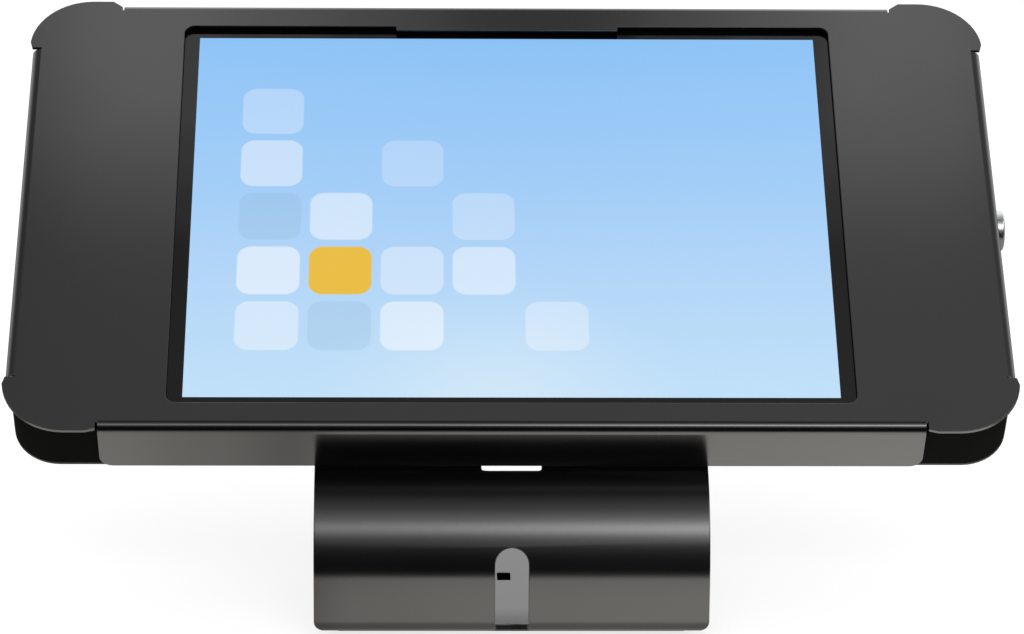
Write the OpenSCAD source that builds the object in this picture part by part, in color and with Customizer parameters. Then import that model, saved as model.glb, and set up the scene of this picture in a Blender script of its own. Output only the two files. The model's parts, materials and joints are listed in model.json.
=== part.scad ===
// Tablet security kiosk stand: a tablet lies in a folded steel tray under a hook-on steel cover
// with a key lock, and the tray is bolted to a desk bracket bent from one steel sheet.
// Frame: +X to the right, +Y to the back, +Z up. The origin is the centre of the four desk bolts,
// on the desk. Sheet parts of the enclosure are drawn flat, face up, with z = 0 on the front face
// and y up the face, and in_enclosure() puts them at their tilt on the bracket.

/* [Tablet] */
// Width of the tablet, lying landscape
tablet_w = 237.3; // [225:0.1:250]
// Height of the tablet
tablet_h = 169; // [160:0.5:180]
// Thickness of the tablet with its glass
tablet_t = 7; // [6:0.1:9]
// Radius of the tablet's corners
tablet_corner_r = 8; // [4:0.5:14]
// Thickness of the tablet's cover glass
glass_t = 0.8; // [0.6:0.1:1.2]
// Thickness of the tablet's metal shell
shell_t = 1.2; // [0.8:0.1:1.6]
// Border of the tablet beside its lit display, left and right
bezel_x = 20.35; // [14:0.05:26]
// Border of the tablet above and below its lit display
bezel_y = 10.75; // [9:0.05:15]

/* [Cover] */
// Sheet thickness of the cover
cover_t = 1.2; // [1:0.1:1.6]
// Outer radius of the cover's folds
cover_fold_r = 3; // [2.2:0.1:4]
// Radius of the cover's four corners
cover_corner_r = 19.5; // [12:0.5:20]
// How far the flat corners stand out past the folded sides
corner_lip = 0.8; // [0.2:0.1:1.5]
// Length over which they run out to that from the ends of the folded sides
lip_run = 3; // [1:0.5:6]
// How far inside the upper side's face the two upper corners start there
lip_sink = 1.5; // [0:0.1:2]
// How far the upper and lower folded sides reach past the tablet at each end
side_past = 4.35; // [3.6:0.05:8]
// How far the left and right folded sides stop short of the upper and lower edges
side_short = 20.2; // [19.5:0.1:30]
// Cut beside each folded side that lets the sheet bend
fold_relief = 0.5; // [0.5:0.1:2.5]
// Radius at the free corners of the folded sides
side_end_r = 4; // [1:0.1:5]
// Window border beside the display, left and right
window_edge_x = 4.8; // [2:0.1:7]
// Window border beside the display, above and below
window_edge_y = 3.55; // [1.5:0.05:4.5]
// Radius of the window's corners
window_r = 3; // [1:0.5:5]
// Width of the stiffening tab in the window's upper edge
window_tab_w = 71; // [40:1:120]
// Depth of the stiffening tab
window_tab_d = 1.7; // [0.5:0.1:2.5]
// Thickness of the foam gasket round the window
gasket_t = 0.7; // [0.4:0.1:1.2]
// How far the gasket stays back from the window's edge
gasket_back = 1.2; // [0.6:0.1:2]
// How far the gasket stays inside the tablet's upper and lower edges
gasket_margin = 1.4; // [1:0.1:2]

/* [Tray] */
// Sheet thickness of the tray
tray_t = 1; // [0.8:0.1:1.4]
// Outer radius of the tray's folds
tray_fold_r = 2; // [1.6:0.1:3]
// Radius of the tray's four corners
tray_corner_r = 14.5; // [10:0.5:16]
// Room beside the tablet for its plug, its foam blocks and the lock
side_bay = 29.75; // [27:0.05:36]
// Depth of foam between the tablet and the tray's floor
foam_t = 9.4; // [8.8:0.1:13]
// Width of the cable pass through the floor and the bracket
cable_pass_w = 18; // [12:0.5:26]
// Height of the cable pass in the tray's floor
cable_pass_h = 16; // [12:0.5:20]
// Height of the cable pass's upper edge above the cover's lower edge
cable_pass_rise = 21.2; // [20:0.2:23]
// How much of the cable pass shows below the cover
cable_pass_show = 0.5; // [0.2:0.1:2.8]
// Wall of the moulded corners
corner_wall = 4; // [2.5:0.5:6]

/* [Bracket] */
// Angle of the screen from the desk
tilt = 35; // [30:1:42]
// Sheet thickness of the bracket
bracket_t = 2; // [1.5:0.1:3]
// Width of the bracket
bracket_w = 118; // [105:1:130]
// Depth of the base plate on the desk
base_d = 120; // [110:1:150]
// Outer radius of the rounded nose
nose_r = 34; // [28:0.5:40]
// Height of the centre of the nose above the desk
nose_z = 17.5; // [13:0.5:22]
// Outer radius of the fold between the nose and the base
base_fold_r = 4; // [3.6:0.1:6]
// Straight stretch of the leg between the nose and the enclosure's lower edge
leg_lead = 4; // [3:0.5:10]
// How far the leg runs past the upper screws
leg_end = 13; // [8:1:20]
// Radius of the leg's upper corners and the base's rear corners
plate_r = 10; // [5:1:16]
// Radius of the nose's lower corners
nose_corner_r = 4; // [2:0.5:8]
// Width of the cable notch in the nose
notch_w = 10; // [9.8:0.2:14]
// Height of the top of the cable notch above the desk
notch_top = 27.9; // [26:0.1:32]
// How far the notch cuts into the base plate
notch_in = 3.6; // [3.3:0.1:3.9]
// Width of the security lock slot in the base plate
lock_slot_w = 4; // [3:0.1:5]
// Length of the security lock slot
lock_slot_l = 7; // [6:0.5:9]
// Sideways place of the security lock slot
lock_slot_x = -1.6; // [-8:0.1:8]
// Distance of the security lock slot behind the nose
lock_slot_back = 48; // [30:1:60]
// Spacing of the desk bolts along X
desk_bolt_x = 80; // [60:1:88]
// Spacing of the desk bolts along Y
desk_bolt_y = 80; // [60:1:90]
// Diameter of the desk bolt holes
desk_bolt_d = 5.5; // [4:0.1:6.5]
// Thickness of the non-slip pad under the base
pad_t = 1.5; // [1:0.1:3]
// How far the pad stays inside the edge of the base
pad_inset = 3; // [1:0.5:6]

/* [Fasteners] */
// Spacing of the square of screws between the tray and the bracket
screw_square = 75; // [70:1:85]
// Diameter of those screws
screw_d = 4; // [3:0.1:4.5]
// Diameter of their heads
screw_head_d = 8; // [7:0.1:9.5]
// Height of their heads
screw_head_h = 2.6; // [2:0.1:3.5]
// Width across the flats of their nuts
nut_flats = 7; // [6.5:0.1:8.5]
// Height of their nuts
nut_h = 3.2; // [2.4:0.1:4]
// Diameter of the screws that hold the moulded corners
corner_screw_d = 3; // [2.5:0.1:3.5]
// Diameter of the strike's rivets
rivet_d = 3; // [2.4:0.1:3.6]

/* [Lock] */
// Diameter of the lock's head outside the cover
lock_head_d = 12.5; // [11.5:0.1:13]
// How far the lock's head stands out
lock_head_h = 2.6; // [1.5:0.1:4]
// Diameter of the lock's threaded barrel
lock_barrel_d = 10; // [9:0.1:10.5]
// Length of the barrel behind the head
lock_barrel_l = 13.5; // [12:0.1:15]
// Width across the flats of the lock's nut
lock_nut_flats = 13; // [12:0.1:13.5]
// Thickness of the lock's nut
lock_nut_h = 3; // [2:0.1:4]
// Diameter of the turning plug
plug_d = 7; // [6:0.1:7.6]
// Thickness of the cam and of the strike
cam_t = 1.6; // [1.2:0.1:2]
// Width of the cam
cam_w = 6; // [5:0.1:6.4]

/* [Hooks] */
// Length of each hook on the cover's left side
hook_l = 24; // [16:1:36]
// Distance of each hook from the middle of that side
hook_y = 35; // [26:1:42]
// How far each hook reaches past its bend
hook_reach = 4.3; // [3.4:0.1:6]
// Inner radius of the hook's bend
hook_in_r = 0.5; // [0.4:0.1:0.8]
// Angle that the cover swings on its hooks before it can be unhooked
swing_max = 35; // [25:1:40]

/* [Clearances] */
// Between the tablet and the tray's upper and lower walls
tablet_gap = 0.2; // [0.1:0.05:0.5]
// Between the cover's upper and lower sides and the tray
cover_gap_y = 0.3; // [0.25:0.05:0.6]
// Between the cover's left and right sides and the tray
cover_gap_x = 0.8; // [0.7:0.05:1.2]
// Between pieces that stay close without touching
near_gap = 0.3; // [0.25:0.05:0.5]
// Round a screw in a plain hole, on its diameter
hole_gap = 0.5; // [0.3:0.1:0.8]
// Round a screw in its thread or a plug in its bore, on its diameter
fit_gap = 0.1; // [0.06:0.02:0.16]

/* [Hidden] */
$fn = 96;
past = 1;    // how far a cutting shape runs past what it cuts
blend = 0.02;    // how far an arc stands past a flat that it runs into, so that the two cross
seat = 0.001;    // air between the tray and the leg that it is bolted to
function mm(x) = round(100 * x) / 100;    // sizes as on a drawing, to a hundredth

// Levels below the front face
plate_in_z = -cover_t;
glass_z = plate_in_z - gasket_t - near_gap / 2;
tablet_back_z = glass_z - tablet_t;
floor_in_z = mm(tablet_back_z - foam_t);
floor_out_z = floor_in_z - tray_t;
side_end_z = floor_in_z + near_gap;
wall_top_z = -cover_fold_r - near_gap;     // below the curve inside the cover's folds
corner_top_z = plate_in_z - 1.5 * near_gap;
panel_t = 2.4;    // the display panel under the glass

// Outer sizes of the tray and the cover, from the tablet outwards
tray_w = mm(tablet_w + 2 * (side_bay + tray_t));
tray_h = mm(tablet_h + 2 * (tablet_gap + tray_t));
cover_w = tray_w + 2 * (cover_gap_x + cover_t);
cover_h = tray_h + 2 * (cover_gap_y + cover_t);
cover_side_x = mm(tablet_w + 2 * side_past);
cover_side_y = cover_h - 2 * side_short;
display_w = mm(tablet_w - 2 * bezel_x);
display_h = mm(tablet_h - 2 * bezel_y);
window_w = display_w + 2 * window_edge_x;
window_h = display_h + 2 * window_edge_y;

// The tray's walls stop short of the cover's folded sides, and the moulded corners fill the rest
wall_end = 3;
tray_side_x = cover_side_x - 2 * wall_end;
tray_side_y = cover_side_y - 2 * wall_end;
tray_relief = fold_relief;
wall_end_r = side_end_r / 2;

// The bracket, in the plane of Y and Z
front_y = -base_d / 2;
nose_c = [front_y + nose_r - blend, nose_z];
up = [cos(tilt), sin(tilt)];       // up the face
out = [-sin(tilt), cos(tilt)];     // out of the face
leg_start = nose_c + (nose_r - blend + seat) * out;
face_c = leg_start + (leg_lead + cover_h / 2) * up - floor_out_z * out;
leg_low = -cover_h / 2 - leg_lead;
leg_top = screw_square / 2 + leg_end;
base_w = bracket_w - 2 * nose_corner_r;

// The cable pass lines up in the tray and the bracket
pass_top = -cover_h / 2 + cable_pass_rise;
pass_r = 1;
slit_low = -cover_h / 2 - cable_pass_show;

// The hooks bend about the line that the cover swings on
hook_r = hook_in_r + cover_t;
swing_x = -cover_w / 2 + hook_r;
swing_z = side_end_z + hook_r;
hook_in_x = cover_gap_x + cover_t + tray_t - hook_r;     // from the swing line to inside the wall
hook_rise = hook_in_x * tan(swing_max) - hook_in_r / cos(swing_max);
hook_slot_h = hook_r + max(0, hook_rise) + 2.5 * near_gap;
hook_slot_gap = 1;
rest_gap = 1.5;
hook_end_x = swing_x + hook_reach;
left_end_z = swing_z - hook_in_r / tan(swing_max);   // the left side's edge clears the tray as it swings

// The lock sits half way down the right side's flat
lock_z = (side_end_z - cover_fold_r) / 2;
lock_seat_x = cover_w / 2;
barrel_end_x = lock_seat_x - lock_barrel_l;
cam_gap = 1.2;
cam_floor_gap = 1;
cam_x = barrel_end_x - cam_gap - cam_t;
cam_reach = lock_z - floor_in_z - cam_floor_gap;
tenon = 3.5;
cam_screw_d = 2;
cam_screw_l = 4.5;
strike_lip_z = lock_z + cam_w / 2 + 2 * near_gap;
strike_post_y = cam_reach + 2 * near_gap;
strike_l = 15;
strike_w = 7.5;
strike_x = cam_x + cam_t + cam_gap / 6 - strike_w / 2;
rivet_head_d = 1.9 * rivet_d;
rivet_head_h = 0.35 * rivet_d;
corner_head_d = 1.9 * corner_screw_d;
corner_head_h = 0.65 * corner_screw_d;
corner_hole_l = 12;
corner_screw_l = tray_t + 0.8 * corner_hole_l;
socket_share = 0.62;    // width of a screw's hexagon socket, as a share of its thread

// Shapes that repeat

module in_enclosure() {
    translate([0, face_c[0], face_c[1]]) rotate([tilt, 0, 0]) children();
}

module at_corners(w, h) {
    for (sx = [-1, 1], sy = [-1, 1]) translate([sx * w / 2, sy * h / 2]) children();
}

module round_rect(w, h, r) {
    square([w - 2 * r, h], center = true);
    square([w, h - 2 * r], center = true);
    at_corners(w - 2 * r, h - 2 * r) circle(r);
}

// Quarter of a bend in the quadrant of positive x and y
module bend(r, t) {
    intersection() {
        difference() {
            circle(r);
            circle(r - t);
        }
        square(r + past);
    }
}

// One folded side along x: its outside is y = 0, and it leaves a plate whose outside is z = 0.
// Short leads run from the bend into the plate and the side.
module folded_side(l, t, r, depth, end_r) {
    lead = r / 4;
    rotate([90, 0, 90]) linear_extrude(l, center = true) {
        translate([-r, -r]) bend(r, t);
        translate([-r - lead, -t]) square([lead, t]);
        translate([-t, -r - lead]) square([t, lead]);
    }
    rotate([90, 0, 0]) linear_extrude(t) {
        translate([-l / 2, end_r - depth]) square([l, depth - r - end_r]);
        translate([end_r - l / 2, -depth]) square([l - 2 * end_r, end_r]);
        for (s = [-1, 1]) translate([s * (l / 2 - end_r), end_r - depth]) circle(end_r);
    }
}

// What is cut from a flat corner of the cover where it runs out along x from the end of a side
module lip_end(sink) {
    over = 1.5;
    top = over * (corner_lip + sink) - sink;
    polygon([[-past, -sink], [0, -sink], [over * lip_run, top], [-past, top]]);
}

// A sheet with four folded sides and flat round corners, folded down from z = 0
module folded_pan(w, h, t, r, depth, side_x, side_y, lip, corner_r, relief, end_r) {
    strip = r + lip + past;
    translate([0, 0, -t]) linear_extrude(t) difference() {
        round_rect(w + 2 * lip, h + 2 * lip, corner_r);
        for (s = [-1, 1]) {
            translate([0, s * (h / 2 - r + strip / 2)])
                square([side_x + 2 * relief, strip], center = true);
            translate([s * (w / 2 - r + strip / 2), 0])
                square([strip, side_y + 2 * relief], center = true);
        }
        if (lip > 0) for (mx = [0, 1], my = [0, 1]) mirror([mx, 0]) mirror([0, my]) {
            translate([side_x / 2 + relief, h / 2]) lip_end(my == 0 ? lip_sink : 0);
            translate([w / 2, side_y / 2 + relief]) mirror([1, -1]) lip_end(0);
        }
    }
    for (a = [0, 180]) rotate(a) translate([0, h / 2, 0]) folded_side(side_x, t, r, depth, end_r);
    for (a = [90, -90]) rotate(a) translate([0, w / 2, 0]) folded_side(side_y, t, r, depth, end_r);
}

// A cylinder along +x from its base, for the lock
module rod_x(d, l) {
    rotate([0, 90, 0]) cylinder(d = d, h = l);
}

// Bracket and base

// The space behind the nose, its front and its leg, from their outside or from a depth of skin in
module nose_fill(skin, low) {
    flat = nose_r - blend - skin;
    translate(nose_c) {
        circle(nose_r - skin);
        rotate(tilt) translate([0, -low]) square([leg_top - leg_low + skin, flat + low]);
        translate([-flat, -low]) square([flat + low, low]);
    }
}

// The strip from the base fold up the front, round the nose and along the leg
module nose_profile() {
    fold_top = pad_t + base_fold_r;
    translate([front_y + base_fold_r, fold_top]) rotate(180) bend(base_fold_r, bracket_t);
    difference() {
        nose_fill(0, nose_z);
        nose_fill(bracket_t, base_d);
        translate([front_y - past, fold_top - base_d]) square([2 * base_d, base_d]);
    }
}

// What a round outer corner takes away, right or left by the sign of s, with the arc's centre at 0
module corner_cut(s, r) {
    difference() {
        translate([s > 0 ? 0 : -r - past, 0]) square(r + past);
        circle(r);
    }
}

module base_plate_outline(inset) {
    front = front_y + base_fold_r + inset;
    back = base_d / 2 - inset;
    half = base_w / 2 - inset;
    difference() {
        translate([-half, front]) square([2 * half, back - front]);
        for (s = [-1, 1]) translate([s * (half - plate_r), back - plate_r]) corner_cut(s, plate_r);
    }
}

module desk_holes() {
    at_corners(desk_bolt_x, desk_bolt_y) circle(d = desk_bolt_d);
}

module lock_slot(grow) {
    translate([lock_slot_x, front_y + lock_slot_back])
        square([lock_slot_w + 2 * grow, lock_slot_l + 2 * grow], center = true);
}

// What is cut from the leg: its upper corners, the screw holes and the cable pass
module leg_cuts() {
    for (s = [-1, 1]) translate([s * (bracket_w / 2 - plate_r + blend), leg_top - plate_r + blend])
        corner_cut(s, plate_r);
    at_corners(screw_square, screw_square) circle(d = screw_d + hole_gap);
    translate([0, (slit_low + pass_top) / 2]) round_rect(cable_pass_w, pass_top - slit_low, pass_r);
}

// The cable notch: round topped through the nose, and a shallow arc, leaning back, into the base
module cable_notch() {
    base_top = pad_t + bracket_t;
    fold_top = pad_t + base_fold_r;
    sag = 0.6;
    lean = tan(12);
    arc_r = (pow(notch_w / 2, 2) + sag * sag) / (2 * sag);
    arc_top = fold_top + past;
    translate([0, front_y + nose_r / 2 - past, 0]) rotate([90, 0, 0]) linear_extrude(nose_r / 2) {
        translate([0, notch_top - notch_w / 2]) circle(d = notch_w);
        translate([-notch_w / 2, fold_top]) square([notch_w, notch_top - notch_w / 2 - fold_top]);
    }
    intersection() {
        translate([-notch_w / 2, front_y - past, 0]) cube([notch_w, 2 * base_fold_r, arc_top]);
        translate([0, front_y + notch_in - arc_r, 0])
            cylinder(r1 = arc_r - base_top * lean, r2 = arc_r + (arc_top - base_top) * lean, h = arc_top);
    }
}

module stand_bracket() {
    color("#2b2b2d") difference() {
        union() {
            rotate([90, 0, 90]) linear_extrude(bracket_w, center = true) nose_profile();
            translate([0, 0, pad_t]) linear_extrude(bracket_t) difference() {
                base_plate_outline(0);
                desk_holes();
                lock_slot(0);
            }
        }
        in_enclosure() translate([0, 0, floor_out_z - bracket_t - past])
            linear_extrude(bracket_t + 2 * past) leg_cuts();
        translate([0, front_y + base_fold_r, pad_t + nose_corner_r]) rotate([90, 0, 0])
            linear_extrude(base_fold_r + past) mirror([0, 1]) for (s = [-1, 1])
                translate([s * (bracket_w / 2 - nose_corner_r), 0]) corner_cut(s, nose_corner_r);
        cable_notch();
    }
}

module base_pad() {
    recess = 0.7 * pad_t;
    color("#161616") difference() {
        linear_extrude(pad_t) difference() {
            base_plate_outline(pad_inset);
            desk_holes();
        }
        translate([0, 0, pad_t - recess]) linear_extrude(pad_t) lock_slot(pad_inset);
    }
}

// A hexagon socket for a screw of this diameter, sunk from z = 0
module hex_socket(d, depth) {
    translate([0, 0, -depth]) cylinder(d = socket_share * d / cos(30), h = depth + past, $fn = 6);
}

module bracket_screws() {
    grip = tray_t + bracket_t + nut_h + screw_d / 4;
    color("#8d9094") in_enclosure() at_corners(screw_square, screw_square) difference() {
        union() {
            translate([0, 0, floor_in_z]) cylinder(d = screw_head_d, h = screw_head_h);
            translate([0, 0, floor_in_z - grip]) cylinder(d = screw_d, h = grip);
        }
        translate([0, 0, floor_in_z + screw_head_h]) hex_socket(screw_d, screw_head_h / 2);
    }
}

module bracket_nuts() {
    color("#8d9094") in_enclosure() at_corners(screw_square, screw_square)
        translate([0, 0, floor_out_z - 2 * seat - bracket_t - nut_h]) difference() {
            cylinder(d = nut_flats / cos(30), h = nut_h, $fn = 6);
            translate([0, 0, -past]) cylinder(d = screw_d + fit_gap, h = nut_h + 2 * past);
        }
}

// Tray and what it carries

module corner_screw_places() {
    inset = tray_corner_r - corner_screw_d;
    at_corners(tray_w - 2 * inset, tray_h - 2 * inset) children();
}

module strike_rivet_places() {
    for (s = [0.27, 0.8]) translate([strike_x, strike_post_y + cam_t + s * strike_l]) children();
}

module rear_tray() {
    slot_y = hook_l + 2 * hook_slot_gap;
    slot_sink = tray_t / 3;
    notch_y = lock_nut_flats / cos(30) + 2 * hook_slot_gap;
    color("#2b2b2d") in_enclosure() difference() {
        translate([0, 0, floor_out_z]) mirror([0, 0, 1])
            folded_pan(tray_w, tray_h, tray_t, tray_fold_r, wall_top_z - floor_out_z, tray_side_x,
                       tray_side_y, 0, tray_corner_r, tray_relief, wall_end_r);
        translate([0, 0, floor_out_z - past]) linear_extrude(tray_t + 2 * past) {
            at_corners(screw_square, screw_square) circle(d = screw_d + hole_gap);
            corner_screw_places() circle(d = corner_screw_d + hole_gap);
            strike_rivet_places() circle(d = rivet_d + fit_gap);
            translate([0, pass_top - cable_pass_h / 2]) round_rect(cable_pass_w, cable_pass_h, pass_r);
        }
        for (s = [-1, 1])
            translate([-tray_w / 2 - past, s * hook_y - slot_y / 2, floor_in_z - slot_sink])
                cube([tray_fold_r + past, slot_y, hook_slot_h + slot_sink]);
        translate([tray_w / 2 - tray_t - past, -notch_y / 2, floor_out_z + tray_fold_r])
            cube([tray_t + 2 * past, notch_y, wall_top_z - floor_out_z]);
    }
}

// A moulded corner: an L of wall with a solid block for its screw
module corner_outline() {
    inside = tray_corner_r + corner_wall / 2;
    meet = tablet_gap;
    intersection() {
        round_rect(tray_w, tray_h, tray_corner_r);
        translate([tray_side_x / 2 + meet, tray_side_y / 2 + meet]) square([tray_w, tray_h]);
        union() {
            difference() {
                square([tray_w, tray_h]);
                round_rect(tray_w - 2 * corner_wall, tray_h - 2 * corner_wall, tray_corner_r - corner_wall);
            }
            translate([tray_w / 2 - inside, tray_h / 2 - inside]) square(inside);
        }
    }
}

module moulded_corner(sx, sy) {
    color("#0c0c0c") in_enclosure() difference() {
        mirror([sx < 0 ? 1 : 0, 0, 0]) mirror([0, sy < 0 ? 1 : 0, 0]) translate([0, 0, floor_in_z])
            linear_extrude(corner_top_z - floor_in_z) corner_outline();
        translate([0, 0, floor_in_z - past]) corner_screw_places()
            cylinder(d = corner_screw_d + fit_gap, h = corner_hole_l + past);
        translate([0, 0, wall_top_z]) linear_extrude(cover_fold_r) {
            square([cover_side_x + 2 * fold_relief, cover_h], center = true);
            square([cover_w, cover_side_y + 2 * fold_relief], center = true);
        }
    }
}

module corner_screws() {
    color("#3a3b3d") in_enclosure() corner_screw_places() difference() {
        union() {
            translate([0, 0, floor_out_z - corner_head_h]) cylinder(d = corner_head_d, h = corner_head_h);
            translate([0, 0, floor_out_z]) cylinder(d = corner_screw_d, h = corner_screw_l);
        }
        translate([0, 0, floor_out_z - corner_head_h]) mirror([0, 0, 1])
            hex_socket(corner_screw_d, corner_head_h / 2);
    }
}

// Two foam blocks beside the tablet, clear of the hooks and the lock
module side_foam(s) {
    near_x = tablet_w / 2 + near_gap;
    far_x = -hook_end_x - 2 * near_gap;
    low_y = strike_post_y + cam_t + strike_l + 2 * near_gap;
    high_y = tray_side_y / 2 - tray_fold_r;
    block_h = foam_t + 0.65 * tablet_t;
    color("#3b3b3b") in_enclosure() for (sy = [-1, 1])
        translate([s * (near_x + far_x) / 2, sy * (low_y + high_y) / 2, floor_in_z + block_h / 2])
            cube([far_x - near_x, high_y - low_y, block_h], center = true);
}

// Two foam rests under the tablet, between the screw heads and the cable pass
module foam_rests() {
    rest_w = 2 * screw_square;
    low_y = (screw_square + screw_head_d) / 2 + rest_gap;
    high_y = -pass_top - rest_gap;
    color("#3b3b3b") in_enclosure() for (s = [-1, 1])
        translate([0, s * (low_y + high_y) / 2, floor_in_z + foam_t / 2])
            cube([rest_w, high_y - low_y, foam_t], center = true);
}

// A bent strip: foot on the floor, post, and a lip that the cam turns under
module lock_strike() {
    r = 1.4 * cam_t;
    top = strike_lip_z + cam_t;
    lip_y = 0.7 * cam_w;
    post_y = strike_post_y;
    color("#9a9da1") in_enclosure()
        difference() {
            translate([strike_x, 0, 0]) rotate([90, 0, 90]) linear_extrude(strike_w, center = true) {
                translate([lip_y, strike_lip_z]) square([post_y + cam_t - r - lip_y, cam_t]);
                translate([post_y + cam_t - r, top - r]) bend(r, cam_t);
                translate([post_y, floor_in_z + r]) square([cam_t, top - floor_in_z - 2 * r]);
                translate([post_y + r, floor_in_z + r]) rotate(180) bend(r, cam_t);
                translate([post_y + r, floor_in_z]) square([strike_l + cam_t - r, cam_t]);
            }
            translate([0, 0, floor_in_z - past]) strike_rivet_places()
                cylinder(d = rivet_d + fit_gap, h = cam_t + 2 * past);
        }
}

module strike_rivets() {
    grip = tray_t + cam_t;
    color("#9a9da1") in_enclosure() strike_rivet_places() {
        translate([0, 0, floor_in_z + cam_t]) cylinder(d = rivet_head_d, h = rivet_head_h);
        translate([0, 0, floor_out_z]) cylinder(d = rivet_d, h = grip);
        translate([0, 0, floor_out_z - rivet_head_h]) cylinder(d = rivet_head_d, h = rivet_head_h);
    }
}

// Tablet

module tablet_shell() {
    depth = tablet_t - glass_t;
    ledge = 3;
    color("#b9bcc0") in_enclosure() translate([0, 0, tablet_back_z]) difference() {
        linear_extrude(depth) round_rect(tablet_w, tablet_h, tablet_corner_r);
        translate([0, 0, shell_t]) linear_extrude(depth)
            square([display_w - 2 * ledge, display_h - 2 * ledge], center = true);
        translate([0, 0, depth - panel_t]) linear_extrude(depth)
            square([display_w + 2 * near_gap, display_h + 2 * near_gap], center = true);
    }
}

module tablet_display() {
    color("#8fc6f5") in_enclosure() translate([0, 0, glass_z - glass_t - panel_t])
        linear_extrude(panel_t) square([display_w, display_h], center = true);
}

module tablet_glass() {
    color("#0a0a0c") in_enclosure() translate([0, 0, glass_z - glass_t])
        linear_extrude(glass_t) round_rect(tablet_w, tablet_h, tablet_corner_r);
}

// Cover

module window_outline() {
    difference() {
        round_rect(window_w, window_h, window_r);
        translate([0, window_h / 2]) square([window_tab_w, 2 * window_tab_d], center = true);
    }
}

// One hook, folded in from the left side about the swing line
module cover_hook() {
    rotate([90, 0, 0]) linear_extrude(hook_l, center = true) {
        translate([swing_x, swing_z]) rotate(180) bend(hook_r, cover_t);
        translate([swing_x, side_end_z]) square([hook_reach, cover_t]);
    }
}

module front_cover() {
    color("#2b2b2d") in_enclosure() {
        difference() {
            folded_pan(cover_w, cover_h, cover_t, cover_fold_r, -side_end_z, cover_side_x,
                       cover_side_y, corner_lip, cover_corner_r, fold_relief, side_end_r);
            translate([0, 0, -cover_t - past]) linear_extrude(cover_t + 2 * past) window_outline();
            translate([cover_w / 2 - cover_t - past, 0, lock_z])
                rod_x(lock_barrel_d + fit_gap, cover_t + 2 * past);
            translate([-cover_w / 2 - past, -cover_side_y / 2 - past, side_end_z - past])
                cube([cover_t + 2 * past, cover_side_y + 2 * past, left_end_z - side_end_z + past]);
            for (s = [-1, 1])
                translate([-cover_w / 2 - past, s * hook_y - hook_l / 2 - fold_relief, side_end_z - past])
                    cube([cover_t + 2 * past, hook_l + 2 * fold_relief, hook_r + past]);
        }
        for (s = [-1, 1]) translate([0, s * hook_y, 0]) cover_hook();
    }
}

module window_gasket() {
    strip = bezel_y - window_edge_y - gasket_back - gasket_margin;
    in_w = window_w + 2 * gasket_back;
    in_h = window_h + 2 * gasket_back;
    color("#141414") in_enclosure() translate([0, 0, plate_in_z - gasket_t]) linear_extrude(gasket_t)
        difference() {
            round_rect(in_w + 2 * strip, in_h + 2 * strip, window_r + strip);
            round_rect(in_w, in_h, window_r);
        }
}

// Lock

module at_lock() {
    in_enclosure() translate([0, 0, lock_z]) children();
}

module lock_housing() {
    flats = 0.9 * lock_barrel_d;
    edge = 0.5;
    color("#c9ccd0") at_lock() difference() {
        union() {
            translate([lock_seat_x, 0, 0]) rod_x(lock_head_d, lock_head_h - edge);
            translate([lock_seat_x + lock_head_h - edge, 0, 0]) rotate([0, 90, 0])
                cylinder(d1 = lock_head_d, d2 = lock_head_d - 2 * edge, h = edge);
            intersection() {
                translate([barrel_end_x, 0, 0]) rod_x(lock_barrel_d, lock_barrel_l);
                translate([barrel_end_x, -lock_barrel_d, -flats / 2])
                    cube([lock_barrel_l, 2 * lock_barrel_d, flats]);
            }
        }
        translate([barrel_end_x - past, 0, 0])
            rod_x(plug_d + fit_gap, lock_barrel_l + lock_head_h + 2 * past);
    }
}

module lock_nut() {
    color("#a9acb0") at_lock() translate([lock_seat_x - cover_t - lock_nut_h, 0, 0]) difference() {
        rotate([0, 90, 0]) rotate(30) cylinder(d = lock_nut_flats / cos(30), h = lock_nut_h, $fn = 6);
        translate([-past, 0, 0]) rod_x(lock_barrel_d + fit_gap, lock_nut_h + 2 * past);
    }
}

// The plug turns in the housing; its square tenon carries the cam
module lock_plug() {
    key_w = 1.1;
    key_h = 5;
    key_l = 9;
    sink = 0.3;
    face_x = lock_seat_x + lock_head_h - sink;
    color("#b4b7bb") at_lock() difference() {
        union() {
            translate([barrel_end_x - cam_gap, 0, 0]) rod_x(plug_d, face_x - barrel_end_x + cam_gap);
            translate([cam_x, -tenon / 2, -tenon / 2]) cube([cam_t + cam_gap, tenon, tenon]);
        }
        translate([face_x - key_l, -key_w / 2, -key_h / 2]) cube([key_l + past, key_w, key_h]);
        translate([cam_x - past, 0, 0]) rod_x(cam_screw_d + fit_gap, cam_screw_l + near_gap + past);
    }
}

// The cam points to the tray's floor when unlocked and under the strike's lip when locked
module lock_cam() {
    r = cam_w / 2;
    hub_r = 0.67 * cam_w;
    hole = tenon + 2 * fit_gap;
    color("#9a9da1") at_lock() difference() {
        translate([cam_x, 0, 0]) rotate([90, 0, 90]) linear_extrude(cam_t) {
            circle(hub_r);
            translate([0, r - cam_reach]) circle(r);
            translate([-r, r - cam_reach]) square([cam_w, cam_reach - r]);
        }
        translate([cam_x - past, -hole / 2, -hole / 2]) cube([cam_t + 2 * past, hole, hole]);
    }
}

module cam_screw() {
    head_h = 0.7 * cam_screw_d;
    color("#8d9094") at_lock() {
        translate([cam_x - head_h, 0, 0]) rod_x(cam_w - near_gap, head_h);
        translate([cam_x, 0, 0]) rod_x(cam_screw_d, cam_screw_l);
    }
}

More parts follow.
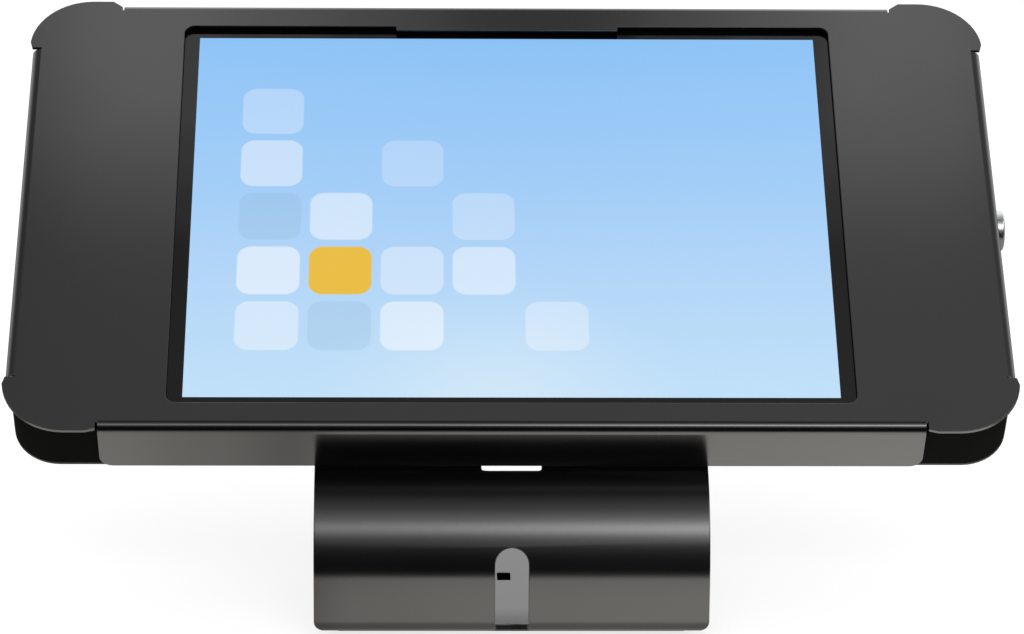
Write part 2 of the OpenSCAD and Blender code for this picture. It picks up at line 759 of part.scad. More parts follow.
stand_bracket();
base_pad();
bracket_screws();
bracket_nuts();
rear_tray();
moulded_corner(-1, -1);  // corner_lower_left
moulded_corner(1, -1);  // corner_lower_right
moulded_corner(-1, 1);  // corner_upper_left
moulded_corner(1, 1);  // corner_upper_right
corner_screws();
side_foam(-1);  // foam_left
side_foam(1);  // foam_right
foam_rests();
lock_strike();
strike_rivets();
tablet_shell();
tablet_display();
tablet_glass();
front_cover();
window_gasket();
lock_housing();
lock_nut();
lock_plug();
lock_cam();
cam_screw();
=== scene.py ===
"""Looks for the tablet kiosk stand: coats, screen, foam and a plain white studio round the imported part."""

import itertools
import json
import math

import bmesh
import bpy
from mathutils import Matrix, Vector


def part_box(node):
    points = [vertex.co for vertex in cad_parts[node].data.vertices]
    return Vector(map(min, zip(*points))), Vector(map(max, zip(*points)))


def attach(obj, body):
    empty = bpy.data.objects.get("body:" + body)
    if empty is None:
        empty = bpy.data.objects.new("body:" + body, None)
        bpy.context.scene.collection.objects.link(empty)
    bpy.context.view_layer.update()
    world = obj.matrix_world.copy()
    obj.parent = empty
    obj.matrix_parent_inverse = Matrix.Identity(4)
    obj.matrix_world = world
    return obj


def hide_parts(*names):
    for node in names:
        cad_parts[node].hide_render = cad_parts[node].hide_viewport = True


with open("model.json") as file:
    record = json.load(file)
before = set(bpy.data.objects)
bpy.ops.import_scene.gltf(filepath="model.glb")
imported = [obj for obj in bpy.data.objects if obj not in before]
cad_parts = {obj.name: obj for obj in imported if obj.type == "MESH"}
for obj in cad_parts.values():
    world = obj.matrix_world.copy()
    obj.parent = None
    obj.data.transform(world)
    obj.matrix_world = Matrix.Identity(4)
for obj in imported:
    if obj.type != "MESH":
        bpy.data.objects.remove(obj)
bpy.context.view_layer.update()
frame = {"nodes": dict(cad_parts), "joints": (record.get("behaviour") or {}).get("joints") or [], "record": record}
nodes = frame["nodes"]

# The enclosure's face: x to the right, v up the face and z out of it, as in the part's source
TILT = math.radians(35)
UP = Vector((0, math.cos(TILT), math.sin(TILT)))
OUT = Vector((0, -math.sin(TILT), math.cos(TILT)))
GLASS_MIDDLE = -0.00245   # z of the middle of the tablet's glass
FACE = sum(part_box("tablet_glass"), Vector()) / 2 - OUT * GLASS_MIDDLE


def on_face(x, v, z):
    """The point at x, v and z of the face."""
    return FACE + Vector((x, 0, 0)) + UP * v + OUT * z


def to_face(point):
    """A point's x, v and z of the face."""
    away = point - FACE
    return away.x, away.dot(UP), away.dot(OUT)


def extent(points):
    """The lowest and highest corners of points."""
    return [min(values) for values in zip(*points)], [max(values) for values in zip(*points)]


def add_object(name, data):
    made = bpy.data.objects.new(name, data)
    bpy.context.scene.collection.objects.link(made)
    return made


def add_mesh(name, shape):
    """A new object with the faces of a bmesh, which is freed."""
    mesh = bpy.data.meshes.new(name)
    shape.to_mesh(mesh)
    shape.free()
    return add_object(name, mesh)


def modify(piece, name, kind, **settings):
    modifier = piece.modifiers.new(name, kind)
    for key, value in settings.items():
        setattr(modifier, key, value)


# Node trees

NOISE_RANGE = (0.3, 0.7)   # nearly all of a noise lies between these


class Tree:
    """Short calls that add nodes to a node tree and join them."""

    def __init__(self, tree):
        self.tree = tree

    def give(self, socket, value):
        """Joins an input to an output, or sets its plain value."""
        if isinstance(value, bpy.types.NodeSocket):
            self.tree.links.new(value, socket)
        else:
            socket.default_value = value

    def add(self, kind, inputs=None, **settings):
        node = self.tree.nodes.new(kind)
        for key, value in settings.items():
            setattr(node, key, value)
        for socket, value in (inputs or {}).items():
            self.give(node.inputs[socket], value)
        return node

    def math(self, operation, first, second=0.0):
        return self.add("ShaderNodeMath", {0: first, 1: second}, operation=operation).outputs[0]

    def vector(self, operation, first, second=(0, 0, 0)):
        node = self.add("ShaderNodeVectorMath", {0: first, 1: second}, operation=operation)
        return node.outputs["Value" if operation in ("LENGTH", "DOT_PRODUCT") else "Vector"]

    def axes(self, vector):
        return self.add("ShaderNodeSeparateXYZ", {"Vector": vector}).outputs

    def length(self, first, second):
        squares = [self.math("POWER", value, 2.0) for value in (first, second)]
        return self.math("SQRT", self.math("ADD", *squares))

    def plus(self, first, second, share):
        """The first value and a share of the second."""
        return self.math("ADD", first, self.math("MULTIPLY", second, share))

    def scale(self, value, start, end, low=0.0, high=1.0, easing="LINEAR"):
        """Goes from low to high while value goes from start to end."""
        inputs = {"Value": value, "From Min": start, "From Max": end, "To Min": low, "To Max": high}
        return self.add("ShaderNodeMapRange", inputs, interpolation_type=easing).outputs["Result"]

    def ease(self, value, start, end, low=0.0, high=1.0):
        return self.scale(value, start, end, low, high, "SMOOTHSTEP")

    def between(self, value, low, high):
        """Goes from low to high while value goes from 0 to 1."""
        return self.scale(value, 0.0, 1.0, low, high)

    def noise_between(self, noise, low, high):
        return self.scale(noise, *NOISE_RANGE, low, high)

    def blend(self, factor, first, second):
        """Mixes two colours."""
        return self.add("ShaderNodeMix", {0: factor, 6: first, 7: second}, data_type="RGBA").outputs[2]

    def ramp(self, value, stops, easing="LINEAR"):
        """Looks a value up in a row of stops, each a place and a colour."""
        node = self.add("ShaderNodeValToRGB", {"Fac": value})
        node.color_ramp.interpolation = easing
        made = node.color_ramp.elements
        for index, (place, colour) in enumerate(stops):
            stop = made[index] if index < 2 else made.new(place)   # a fresh ramp has two stops
            stop.position = place
            stop.color = colour
        return node.outputs["Color"]


class Shader(Tree):
    """A material with one Principled shader."""

    def __init__(self, name, **values):
        self.material = bpy.data.materials.new(name)
        self.material.use_nodes = True
        super().__init__(self.material.node_tree)
        self.surface = self.tree.nodes["Principled BSDF"]
        for socket, value in values.items():
            self.surface.inputs[socket.replace("_", " ")].default_value = value

    def place(self):
        return self.add("ShaderNodeTexCoord").outputs["Object"]

    def place_from(self, origin, turn=(0, 0, 0)):
        """Places measured from an origin, on turned axes."""
        inputs = {"Vector": self.place(), "Location": origin, "Rotation": turn}
        return self.add("ShaderNodeMapping", inputs, vector_type="TEXTURE").outputs[0]

    def noise(self, scale, detail, roughness=0.5):
        inputs = {"Vector": self.place(), "Scale": scale, "Detail": detail, "Roughness": roughness}
        return self.add("ShaderNodeTexNoise", inputs).outputs["Fac"]

    def cells(self, scale, output, feature="F1"):
        inputs = {"Vector": self.place(), "Scale": scale}
        return self.add("ShaderNodeTexVoronoi", inputs, feature=feature).outputs[output]

    def drive(self, socket, value):
        self.tree.links.new(value, self.surface.inputs[socket])

    def finished(self, colour, roughness, height, depth):
        """The material with its colour, roughness and bump, whose depth is in metres."""
        self.drive("Base Color", colour)
        self.drive("Roughness", roughness)
        bump = self.add("ShaderNodeBump", {"Height": height, "Strength": 1.0, "Distance": depth})
        self.drive("Normal", bump.outputs["Normal"])
        return self.material


def grey(level):
    return (level, level, level, 1)


def dimmed(colour, share):
    return (*(share * part for part in colour[:3]), 1)


# Materials of the solids

COAT_TINT = (0.0036, 0.0036, 0.0037, 1)
FOAM_TINT = (0.050, 0.050, 0.052, 1)
LOCK_AXIS = next(joint["pos_m"] for joint in frame["joints"] if joint["name"] == "lock_turn")
RING_PITCH = 0.00045   # of the rings that a lathe leaves round that axis


def steel_coat(name, roughness, ior):
    """Black stoving enamel: nearly black, with faint orange peel and cloudy gloss."""
    shader = Shader(name, IOR=ior)
    cloud = shader.noise(scale=14, detail=2)
    grain = shader.noise(scale=2600, detail=2)
    peel = shader.noise(scale=520, detail=2)
    colour = shader.blend(shader.noise_between(grain, 0, 1), dimmed(COAT_TINT, 0.55), COAT_TINT)
    patches = shader.plus(shader.math("MULTIPLY", cloud, 0.7), grain, 0.3)
    gloss = shader.noise_between(patches, roughness - 0.03, roughness + 0.03)
    return shader.finished(colour, gloss, shader.plus(peel, grain, 0.35), depth=6e-6)


def moulded(name):
    """Dull black moulded rubber with a fine spark-eroded grain."""
    shader = Shader(name, Specular_IOR_Level=0.05)
    grain = shader.noise(scale=1900, detail=4, roughness=0.6)
    colour = shader.blend(grain, grey(0.0006), grey(0.0024))
    return shader.finished(colour, shader.between(grain, 0.60, 0.80), grain, depth=60e-6)


def plated(name, dark, light, roughness, scale):
    """Zinc or oxide on steel: cloudy crystals with fine scratches."""
    shader = Shader(name, Metallic=1.0)
    crystals = shader.add("ShaderNodeRGBToBW", {"Color": shader.cells(scale, "Color")}).outputs["Val"]
    fine = shader.noise(scale=3000, detail=2)
    colour = shader.blend(shader.scale(crystals, 0.2, 0.8), dark, light)
    gloss = shader.noise_between(fine, roughness - 0.06, roughness + 0.1)
    return shader.finished(colour, gloss, fine, depth=10e-6)


def turned_chrome(name):
    """Satin plating over turned rings about the lock's axis."""
    shader = Shader(name, Metallic=1.0)
    _, y, z = shader.axes(shader.place_from(LOCK_AXIS))
    turns = shader.math("MULTIPLY", shader.length(y, z), 2 * math.pi / RING_PITCH)
    rings = shader.math("SINE", turns)
    fine = shader.noise(scale=900, detail=3)
    colour = shader.blend(fine, (0.72, 0.73, 0.75, 1), (0.84, 0.85, 0.87, 1))
    height = shader.plus(fine, rings, 0.4)
    return shader.finished(colour, shader.between(fine, 0.20, 0.34), height, depth=6e-6)


def rubber(name):
    """Dull pad rubber with small pits."""
    shader = Shader(name)
    pits = shader.cells(900, "Distance")
    fine = shader.noise(scale=2400, detail=3)
    colour = shader.blend(fine, grey(0.0050), (0.0130, 0.0128, 0.0125, 1))
    height = shader.math("SUBTRACT", shader.math("MULTIPLY", fine, 0.4), pits)
    return shader.finished(colour, shader.between(fine, 0.70, 0.90), height, depth=80e-6)


def foam(name):
    """Open-cell foam: cell walls in the foam's tint, varying at random, with painted shade in the pores between
    them.
    """
    shader = Shader(name)
    to_edge = shader.cells(1500, "Distance", feature="DISTANCE_TO_EDGE")
    wall = shader.scale(to_edge, 0.0, 0.22, 1.0, 0.0)
    lumps = shader.noise(scale=260, detail=3)
    # Painted shade: the pores between the cell walls are darkened to a quarter of the foam's tint
    light = shader.math("MULTIPLY", wall, shader.noise_between(lumps, 0.6, 1.0))
    colour = shader.blend(light, dimmed(FOAM_TINT, 0.25), FOAM_TINT)
    height = shader.plus(wall, lumps, 0.6)
    return shader.finished(colour, shader.between(lumps, 0.88, 1.0), height, depth=250e-6)


def tablet_metal(name):
    """Finely blasted aluminium."""
    shader = Shader(name, Metallic=1.0)
    fine = shader.noise(scale=5200, detail=2)
    cloud = shader.noise(scale=40, detail=2)
    colour = shader.blend(cloud, (0.56, 0.57, 0.59, 1), (0.64, 0.65, 0.67, 1))
    return shader.finished(colour, shader.between(fine, 0.30, 0.42), fine, depth=8e-6)


def display_panel(name):
    """The panel under the glass: a dark matrix of fine lines."""
    shader = Shader(name)
    inputs = {"Vector": shader.place(), "Scale": 600.0}
    rows = shader.add("ShaderNodeTexWave", inputs, bands_direction="X").outputs["Fac"]
    shader.drive("Base Color", shader.blend(rows, (0.004, 0.004, 0.005, 1), (0.010, 0.010, 0.013, 1)))
    shader.drive("Roughness", shader.between(rows, 0.25, 0.40))
    return shader.material


# The lit picture under the glass

DISPLAY_WIDTH = 0.1966
DISPLAY_HEIGHT = 0.1475
GLASS_FRONT = -0.0024   # only what lies above this z is lit

# Colours from the picture's foot to its top, and a pale glow at its foot
SKY = [(0.0, (0.52, 0.73, 0.93, 1)), (0.3, (0.44, 0.66, 0.92, 1)),
       (0.6, (0.335, 0.585, 0.91, 1)), (1.0, (0.245, 0.52, 0.90, 1))]
GLOW_TINT = (0.72, 0.85, 0.92, 1)
GLOW_SHARE = 0.45
GLOW_MIDDLE = (-0.004, -0.075)
GLOW_REACH = (0.062, 0.050)

# Pale rounded tiles climbing from the lower left, with one amber tile: place in mm, opacity, colour
WHITE = (1.0, 1.0, 1.0, 1)
STEEL = (0.24, 0.42, 0.60, 1)
AMBER = (0.80, 0.50, 0.045, 1)
TILES = [(-74, -46, 0.34, WHITE), (-52, -46, 0.22, STEEL), (-30, -46, 0.42, WHITE), (14, -46, 0.26, WHITE),
         (-74, -24, 0.46, WHITE), (-52, -24, 1.00, AMBER), (-30, -24, 0.30, WHITE), (-8, -24, 0.38, WHITE),
         (-74, -2, 0.24, STEEL), (-52, -2, 0.40, WHITE), (-8, -2, 0.20, WHITE),
         (-74, 20, 0.36, WHITE), (-30, 20, 0.18, WHITE), (-74, 42, 0.22, WHITE)]
TILE_FLAT = 0.0052             # from a tile's middle to where its rounding starts
TILE_FADE = (0.0047, 0.0041)   # from the rounding's start to where the tile ends and where it is full


def tile_mask(shader, place, x, v):
    """1 inside a rounded square with a soft edge, 0 outside."""
    away = shader.vector("ABSOLUTE", shader.vector("SUBTRACT", place, (x, v, 0)))
    flat = shader.vector("MULTIPLY", away, (1, 1, 0))
    past = shader.vector("MAXIMUM", shader.vector("SUBTRACT", flat, (TILE_FLAT, TILE_FLAT, 0)))
    return shader.ease(shader.vector("LENGTH", past), *TILE_FADE)


def lit_glass(name):
    """Cover glass bonded to the display: a black border round a lit blue picture of plain tiles."""
    shader = Shader(name, Base_Color=(0.002, 0.002, 0.0022, 1), IOR=1.5, Emission_Strength=1.0)
    place = shader.place_from(FACE, (TILT, 0, 0))
    x, v, z = shader.axes(place)
    picture = shader.ramp(shader.scale(v, -DISPLAY_HEIGHT / 2, DISPLAY_HEIGHT / 2), SKY)
    across, up = [shader.math("DIVIDE", shader.math("SUBTRACT", value, middle), reach)
                  for value, middle, reach in zip((x, v), GLOW_MIDDLE, GLOW_REACH)]
    glow = shader.ease(shader.length(across, up), 1.0, 0.0, 0.0, GLOW_SHARE)
    picture = shader.blend(glow, picture, GLOW_TINT)
    for tile_x, tile_v, opacity, colour in TILES:
        mask = tile_mask(shader, place, tile_x / 1000, tile_v / 1000)
        picture = shader.blend(shader.math("MULTIPLY", mask, opacity), picture, colour)
    lit = shader.math("GREATER_THAN", z, GLASS_FRONT)
    for value, size in ((x, DISPLAY_WIDTH), (v, DISPLAY_HEIGHT)):
        inside = shader.math("LESS_THAN", shader.math("ABSOLUTE", value), size / 2)
        lit = shader.math("MULTIPLY", lit, inside)
    shader.drive("Emission Color", shader.blend(lit, grey(0), picture))
    shader.drive("Roughness", shader.between(lit, 0.07, 0.30))
    return shader.material


LOOKS = {
    "black_steel": steel_coat("black_steel", 0.16, 2.0),
    "moulded_black": moulded("moulded_black"),
    "zinc_steel": plated("zinc_steel", (0.42, 0.43, 0.45, 1), (0.60, 0.61, 0.63, 1), 0.30, 700.0),
    "black_screw": plated("black_screw", (0.030, 0.030, 0.032, 1), (0.055, 0.055, 0.058, 1), 0.38, 900.0),
    "chrome": turned_chrome("chrome"),
    "rubber_pad": rubber("rubber_pad"),
    "foam": foam("foam"),
    "tablet_metal": tablet_metal("tablet_metal"),
    "display": display_panel("display"),
    "tablet_glass": lit_glass("tablet_glass"),
}
DULL_COAT = steel_coat("dull_black_steel", 0.42, 1.5)   # the tray's coat: the same black with less gloss


# Solids of the part: materials, shading and small edge radii

WELD = 2e-6                        # points nearer than this are joined
SMOOTH_BELOW = math.radians(28)    # angles between faces
FLAT_BELOW = math.radians(0.4)
BEVEL_ABOVE = math.radians(38)
EDGES_MM = {"stand_bracket": 0.35, "front_cover": 0.2, "rear_tray": 0.22, "base_pad": 0.3,
            "tablet_shell": 0.3, "tablet_glass": 0.2, "bracket_screws": 0.3, "corner_screws": 0.3,
            "bracket_nuts": 0.3, "lock_nut": 0.3, "lock_housing": 0.2, "lock_plug": 0.12,
            "lock_cam": 0.2, "lock_strike": 0.2, "strike_rivets": 0.35, "cam_screw": 0.25,
            "corner_lower_left": 0.6, "corner_lower_right": 0.6,
            "corner_upper_left": 0.6, "corner_upper_right": 0.6}

# The bracket's bends: y, z, outer and inner radius in mm. A face belongs to one if its corners are
# this near to the radius and it faces this much along it.
NOSE_BEND = (-26.02, 17.5, 34, 32)
FOOT_BEND = (-56, 5.5, 4, 2)
BEND_SLACK = 0.0002
BEND_FACING = 0.97


def geometry_tree(name):
    """A new modifier's tree, and the geometry that comes into it."""
    tree = Tree(bpy.data.node_groups.new(name, "GeometryNodeTree"))
    for way in ("INPUT", "OUTPUT"):
        tree.tree.interface.new_socket("Geometry", in_out=way, socket_type="NodeSocketGeometry")
    return tree, tree.add("NodeGroupInput").outputs[0]


def soft_shading():
    """Joins the mesh along its seams and shades it smooth except over sharp edges."""
    tree, geometry = geometry_tree("tidy_mesh")
    bare = tree.add("GeometryNodeRemoveAttribute", {"Geometry": geometry, "Name": "custom_normal"})
    joined = tree.add("GeometryNodeMergeByDistance", {"Geometry": bare.outputs[0], "Distance": WELD})
    faces = tree.add("GeometryNodeSetShadeSmooth", {"Geometry": joined.outputs[0]})
    angle = tree.add("GeometryNodeInputMeshEdgeAngle").outputs["Unsigned Angle"]
    soft = tree.add("FunctionNodeCompare", {0: angle, 1: SMOOTH_BELOW},
                    data_type="FLOAT", operation="LESS_THAN").outputs["Result"]
    edges = tree.add("GeometryNodeSetShadeSmooth", {"Geometry": faces.outputs[0], "Shade Smooth": soft},
                     domain="EDGE")
    tree.add("NodeGroupOutput", {0: edges.outputs[0]})
    return tree.tree


def bend_normals(bends):
    """Gives bent sheet the normals of its true arcs."""
    tree, geometry = geometry_tree("bend_normals")
    normal = tree.add("GeometryNodeInputNormal").outputs
    flat = tree.add("GeometryNodeFieldOnDomain", domain="FACE", data_type="FLOAT_VECTOR")
    tree.give(flat.inputs[0], normal["True Normal"])
    place = tree.add("GeometryNodeInputPosition").outputs[0]
    result = normal["Normal"]
    for y, z, outer, inner in bends:
        arm = tree.vector("SUBTRACT", place, (0, y / 1000, z / 1000))
        arm = tree.vector("MULTIPLY", arm, (0, 1, 1))
        reach = tree.vector("LENGTH", arm)
        ray = tree.vector("NORMALIZE", arm)
        for radius, sign in ((outer, 1), (inner, -1)):
            way = tree.vector("MULTIPLY", ray, (sign, sign, sign))
            off = tree.math("ABSOLUTE", tree.math("SUBTRACT", reach, radius / 1000))
            near = tree.math("LESS_THAN", off, BEND_SLACK)
            along = tree.math("GREATER_THAN", tree.vector("DOT_PRODUCT", flat.outputs[0], way), BEND_FACING)
            choice = {"Switch": tree.math("MULTIPLY", near, along), "False": result, "True": way}
            result = tree.add("GeometryNodeSwitch", choice, input_type="VECTOR").outputs[0]
    bent = tree.add("GeometryNodeSetMeshNormal", {"Mesh": geometry}, mode="FREE", domain="CORNER")
    tree.give(bent.inputs["Custom Normal"], result)
    tree.add("NodeGroupOutput", {0: bent.outputs[0]})
    return tree.tree


shading = soft_shading()
slot_of = {row["node"]: row["material_slot"] for row in frame["record"]["subparts"]}
for name, piece in nodes.items():
    piece.data.materials.clear()
    piece.data.materials.append(DULL_COAT if name == "rear_tray" else LOOKS[slot_of[name]])
    modify(piece, "tidy", "NODES", node_group=shading)
    if name in EDGES_MM:
        modify(piece, "flats", "DECIMATE", decimate_type="DISSOLVE", angle_limit=FLAT_BELOW)
        modify(piece, "edges", "BEVEL", width=EDGES_MM[name] / 1000, segments=3, limit_method="ANGLE",
               angle_limit=BEVEL_ABOVE, use_clamp_overlap=False, miter_outer="MITER_ARC",
               harden_normals=True)
modify(nodes["stand_bracket"], "arcs", "NODES", node_group=bend_normals([NOSE_BEND, FOOT_BEND]))


# Foam, cut and glued in place of the plain solids

FOAM_FACET = 0.004
FOAM_DRAW = 0.0009        # a block's sides draw in by this at most,
FOAM_DRAW_SHARE = 0.03    # and by this share of its size
FOAM_EDGE = 0.0007
FOAM_SHARP = math.radians(50)
GASKET_WIDTH = 0.0046
GASKET_CORNER = 0.0076    # outer radius at the window's corners
CORNER_STEPS = 8
SECTION_STEPS = 16
SIDE_POWER = 0.25         # powers that square the ellipse of the gasket's section
TOP_POWER = 0.55


def dress_foam(piece, body, node):
    piece.data.materials.append(LOOKS["foam"])
    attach(piece, body)
    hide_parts(node)


def face_points(node):
    return [to_face(vertex.co) for vertex in nodes[node].data.vertices]


def drawn_in(at, axis, size):
    """Where a block's point, at -1 to 1 on each axis, lies on one axis once the sides draw in."""
    if axis == 2 or abs(at[axis]) < 1:
        return at[axis]
    first, second = [at[other] for other in range(3) if other != axis]
    waist = (1 - first ** 4) * (1 - second ** 4)
    draw = min(FOAM_DRAW, FOAM_DRAW_SHARE * size[axis])
    return at[axis] * (1 - draw * waist / (size[axis] / 2))


def add_block(shape, low, high):
    """Adds a box on the face's axes whose sides draw in a little between the corners."""
    size = [end - start for start, end in zip(low, high)]
    steps = [max(3, round(side / FOAM_FACET)) for side in size]
    made = {}

    def corner(index):
        if index not in made:
            at = [2 * step / count - 1 for step, count in zip(index, steps)]
            place = [(low[axis] + high[axis] + drawn_in(at, axis, size) * size[axis]) / 2
                     for axis in range(3)]
            made[index] = shape.verts.new(on_face(*place))
        return made[index]

    for axis in range(3):
        first, second = [other for other in range(3) if other != axis]
        places = itertools.product((0, steps[axis]), range(steps[first]), range(steps[second]))
        for end, i, j in places:
            quad = []
            for right, up in ((0, 0), (1, 0), (1, 1), (0, 1)):
                index = {axis: end, first: i + right, second: j + up}
                quad.append(corner((index[0], index[1], index[2])))
            if (end == 0) != (axis == 1):   # so that the face looks outwards
                quad.reverse()
            shape.faces.new(quad).smooth = True


def foam_blocks(name, node):
    """Die-cut foam with soft edges: an upper and a lower block."""
    shape = bmesh.new()
    points = face_points(node)
    for side in (1, -1):
        add_block(shape, *extent([point for point in points if point[1] * side > 0]))
    piece = add_mesh(name, shape)
    modify(piece, "soft_edges", "BEVEL", width=FOAM_EDGE, segments=3, limit_method="ANGLE",
           angle_limit=FOAM_SHARP)
    dress_foam(piece, "stand", node)


def gasket_strip(name, node):
    """A foam strip with rolled edges that runs round the window."""
    low, high = extent(face_points(node))
    middle = (low[2] + high[2]) / 2
    half_thick = (high[2] - low[2]) / 2
    half_width = GASKET_WIDTH / 2
    path = []
    for side, end, start in ((1, 1, 0), (-1, 1, 90), (-1, -1, 180), (1, -1, 270)):
        for step in range(CORNER_STEPS + 1):
            angle = math.radians(start + 90 * step / CORNER_STEPS)
            out_x, out_v = math.cos(angle), math.sin(angle)
            x = side * (high[0] - GASKET_CORNER) + (GASKET_CORNER - half_width) * out_x
            v = end * (high[1] - GASKET_CORNER) + (GASKET_CORNER - half_width) * out_v
            path.append((x, v, out_x, out_v))
    section = []
    for step in range(SECTION_STEPS):
        angle = 2 * math.pi * step / SECTION_STEPS
        across, above = math.cos(angle), math.sin(angle)
        section.append((half_width * math.copysign(abs(across) ** SIDE_POWER, across),
                        half_thick * math.copysign(abs(above) ** TOP_POWER, above)))
    shape = bmesh.new()
    rings = [[shape.verts.new(on_face(x + across * out_x, v + across * out_v, middle + above))
              for across, above in section] for x, v, out_x, out_v in path]
    for ring, after in zip(rings, rings[1:] + rings[:1]):
        for step in range(SECTION_STEPS):
            following = (step + 1) % SECTION_STEPS
            shape.faces.new((ring[step], after[step], after[following], ring[following])).smooth = True
    bmesh.ops.recalc_face_normals(shape, faces=shape.faces)
    dress_foam(add_mesh(name, shape), "cover", node)


for node in ("foam_left", "foam_right", "foam_rests"):
    foam_blocks(node + "_cut", node)
gasket_strip("window_gasket_strip", "window_gasket")


# Studio: white floor and surroundings, lamps and camera

FLOOR_REACH = 5           # from the floor's middle to its edges
FLOOR_CELLS = 8
FLOOR_GREY = 0.42
FLOOR_GLOW = 0.78         # brings the lit floor up to white where the camera sees it
FLOOR_DROP = 0.0002       # the floor lies this far under the part

# The coat mirrors other levels than the camera sees: what glossy rays see of the floor is a painted reflection. A
# value named BY says from where to where a level changes, and what it is before and after, if not 0 and 1. The
# mirrored floor has a lit strip in front of the stand, with its levels from left to right; their dip beside the
# stand is a painted shadow of the stand. The mirrored floor is darker where rays to it are short, a painted
# contact shadow at the stand's foot.
STRIP_HALF_WIDTH = 0.14
STRIP_LEVELS = [(0.05, 0.78), (0.17, 0.62), (0.26, 0.46), (0.33, 0.76),
                (0.50, 0.86), (0.72, 0.92), (0.93, 1.0)]
STRIP_PEAK = 1.4
STRIP_BY_DEPTH = (0.02, -0.04)
STRIP_BY_SIDE = (0.30, 0.18)
STRIP_BY_DISTANCE = (0.110, 0.075)
FLOOR_REST = 0.25
FLOOR_BY_DEPTH = (-0.20, -0.13, 0.015, 1.0)
# Painted contact shadow: the mirrored floor dims where rays to it are shorter than this
CONTACT_SHADE_BY_DISTANCE = (0.0, 0.020, 0.4, 1.0)
FLOOR_TINT = (1, 0.97, 0.91, 1)

# The mirrored surroundings go by a ray's direction: overhead, behind, and a band of light ahead with its
# levels from the floor upwards, brighter on the right.
OVERHEAD_BY_DEPTH = (0.07, 0.16, 0.37, 0.20)
OVERHEAD_BY_SIDE = (-0.22, 0.22, 0.82, 1.22)
BEHIND_BY_DEPTH = (0.30, 0.75, 0.0, 0.80)
AHEAD_LEVELS = [(0.10, 0.008), (0.32, 0.03), (0.46, 0.17), (0.63, 0.80),
                (0.74, 0.36), (0.88, 0.14), (0.98, 0.025)]
AHEAD_PEAK = 1.8
RIGHT_BY_SIDE = (0.0, 0.06)
RIGHT_BY_HEIGHT = (0.84, 0.46, 0.3, 2.5)
AHEAD_TO_OVERHEAD = (-0.16, 0.04)
TWICE_MIRRORED = 0.35     # share of the band that a second reflection keeps
PLAIN_LEVEL = 0.55        # of the surroundings as plain light on the part

# Lamps over the enclosure in steps: y, z, and the inner and outer edges on the left and right
OVER_STEPS = [(0.480, 0.75, (-0.020, -0.195), (0.070, 0.235)),
              (0.505, 0.76, (-0.070, -0.220), (0.115, 0.245)),
              (0.530, 0.77, (-0.120, -0.245), (0.160, 0.255))]
OVER_DEPTH = 0.80
OVER_RADIANCE = 0.225

# Lamps that the coat doesn't mirror: name, place, target, width, height, radiance
PLAIN_LAMPS = [("fill_left", (-0.54, 0.50, 0.78), (-0.54, 0.50, 0), 0.65, 0.80, 0.65),
               ("fill_right", (0.59, 0.50, 0.78), (0.59, 0.50, 0), 0.65, 0.80, 0.65),
               ("front", (0.10, -0.98, 0.79), (0.10, -0.05, 0.04), 1.40, 0.30, 1.9),
               ("front_right", (0.47, -1.02, 0.70), (0.47, -0.05, 0.04), 0.70, 0.28, 2.8)]

# The camera as solved from the photograph, its place on the face's axes
CAMERA_PLACE = (-0.024779, -0.857318, 0.973773)
CAMERA_ANGLES = (74.86624, -0.3928, -1.06642)
CAMERA_LENS = 147.448
CAMERA_SENSOR = 36
CAMERA_CLIP = 0.01


def greys(levels):
    return [(place, grey(level)) for place, level in levels]


def seen_directly(tree, path):
    return tree.math("MAXIMUM", path["Is Camera Ray"], path["Is Transmission Ray"])


def studio_floor():
    shape = bmesh.new()
    bmesh.ops.create_grid(shape, x_segments=FLOOR_CELLS, y_segments=FLOOR_CELLS, size=FLOOR_REACH)
    floor = add_mesh("floor", shape)
    floor.location.z = -FLOOR_DROP
    shader = Shader("floor", Base_Color=grey(FLOOR_GREY), Roughness=0.9, Specular_IOR_Level=0.0,
                    Emission_Color=grey(1))
    path = shader.add("ShaderNodeLightPath").outputs
    shader.drive("Emission Strength", shader.math("MULTIPLY", seen_directly(shader, path), FLOOR_GLOW))
    side, depth, _ = shader.axes(shader.place())
    strip = shader.ease(depth, *STRIP_BY_DEPTH)
    strip = shader.math("MULTIPLY", strip, shader.ease(shader.math("ABSOLUTE", side), *STRIP_BY_SIDE))
    strip = shader.math("MULTIPLY", strip, shader.ease(path["Ray Length"], *STRIP_BY_DISTANCE))
    # The strip's levels dip beside the stand: a painted shadow within the painted reflection
    lit = shader.ramp(shader.scale(side, -STRIP_HALF_WIDTH, STRIP_HALF_WIDTH), greys(STRIP_LEVELS), "EASE")
    level = shader.between(strip, FLOOR_REST, shader.math("MULTIPLY", lit, STRIP_PEAK))
    level = shader.math("MULTIPLY", level, shader.ease(depth, *FLOOR_BY_DEPTH))
    # Painted contact shadow: short rays see the mirrored floor darker
    level = shader.math("MULTIPLY", level, shader.ease(path["Ray Length"], *CONTACT_SHADE_BY_DISTANCE))
    # The painted reflection of the floor, seen only by glossy rays
    mirrored = shader.add("ShaderNodeEmission", {"Color": FLOOR_TINT, "Strength": level})
    either = shader.add("ShaderNodeMixShader", {0: path["Is Glossy Ray"], 1: shader.surface.outputs[0],
                                                2: mirrored.outputs[0]})
    shader.give(shader.tree.nodes["Material Output"].inputs["Surface"], either.outputs[0])
    shader.material.cycles.emission_sampling = "NONE"
    floor.data.materials.append(shader.material)


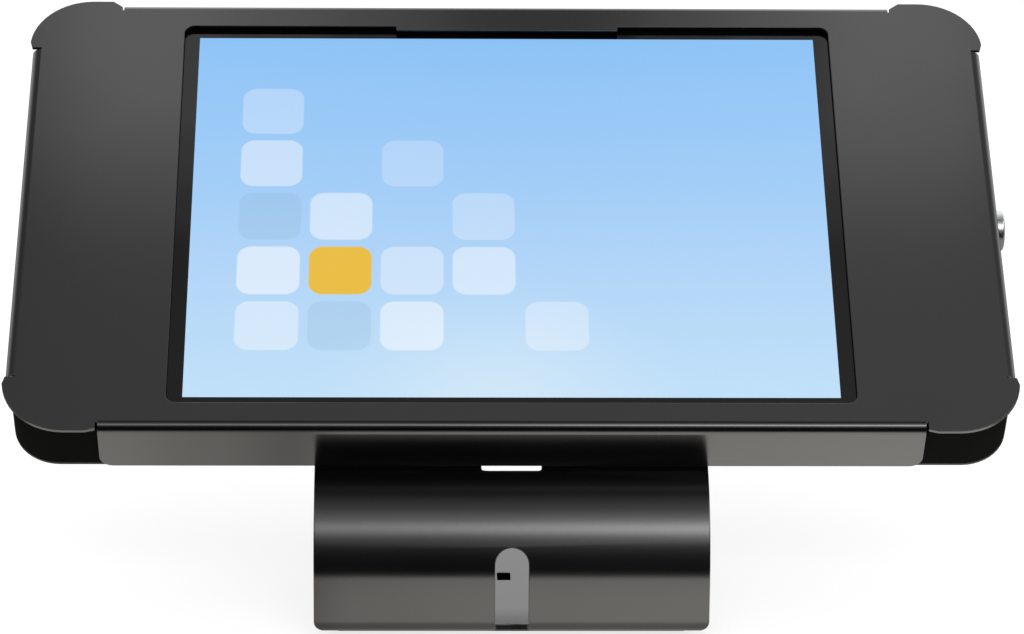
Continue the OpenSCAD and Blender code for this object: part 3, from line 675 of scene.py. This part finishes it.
def surroundings():
    world = bpy.data.worlds.new("studio")
    bpy.context.scene.world = world
    world.use_nodes = True
    tree = Tree(world.node_tree)
    path = tree.add("ShaderNodeLightPath").outputs
    side, depth, height = tree.axes(tree.add("ShaderNodeTexCoord").outputs["Generated"])
    behind = tree.ease(depth, *BEHIND_BY_DEPTH)
    overhead = tree.plus(behind, tree.ease(depth, *OVERHEAD_BY_DEPTH), tree.ease(side, *OVERHEAD_BY_SIDE))
    ahead = tree.math("MULTIPLY", tree.ramp(height, greys(AHEAD_LEVELS), "EASE"), AHEAD_PEAK)
    right = tree.plus(1.0, tree.ease(side, *RIGHT_BY_SIDE), tree.ease(height, *RIGHT_BY_HEIGHT))
    ahead = tree.math("MULTIPLY", ahead, right)
    again = tree.math("GREATER_THAN", path["Glossy Depth"], 1.5)
    ahead = tree.math("MULTIPLY", ahead, tree.between(again, 1.0, TWICE_MIRRORED))
    mirrored = tree.between(tree.ease(depth, *AHEAD_TO_OVERHEAD), ahead, overhead)
    level = tree.between(path["Is Glossy Ray"], PLAIN_LEVEL, mirrored)
    tree.give(tree.tree.nodes["Background"].inputs["Color"], grey(1))
    tree.give(tree.tree.nodes["Background"].inputs["Strength"],
              tree.between(seen_directly(tree, path), level, 1.0))


def softbox(name, place, target, width, height, radiance, mirrored):
    lamp = bpy.data.lights.new(name, "AREA")
    lamp.shape = "RECTANGLE"
    lamp.size = width
    lamp.size_y = height
    lamp.energy = radiance * math.pi * width * height
    box = add_object(name, lamp)
    box.location = place
    box.rotation_euler = (Vector(target) - Vector(place)).to_track_quat("-Z", "Y").to_euler()
    box.visible_camera = False
    box.visible_glossy = mirrored


studio_floor()
surroundings()
for step, (y, z, left, right) in enumerate(OVER_STEPS):
    for name, (inner, outer) in (("over_left", left), ("over_right", right)):
        x = (inner + outer) / 2
        softbox(f"{name}_{step}", (x, y, z), (x, y, 0), abs(outer - inner), OVER_DEPTH, OVER_RADIANCE,
                mirrored=True)
for lamp in PLAIN_LAMPS:
    softbox(*lamp, mirrored=False)

camera = add_object("camera", bpy.data.cameras.new("camera"))
camera.data.lens = CAMERA_LENS
camera.data.sensor_width = CAMERA_SENSOR
camera.data.sensor_fit = "HORIZONTAL"
camera.data.clip_start = CAMERA_CLIP
camera.location = on_face(*CAMERA_PLACE)
camera.rotation_euler = [math.radians(angle) for angle in CAMERA_ANGLES]
bpy.context.scene.camera = camera
bpy.context.scene.view_settings.view_transform = "Standard"
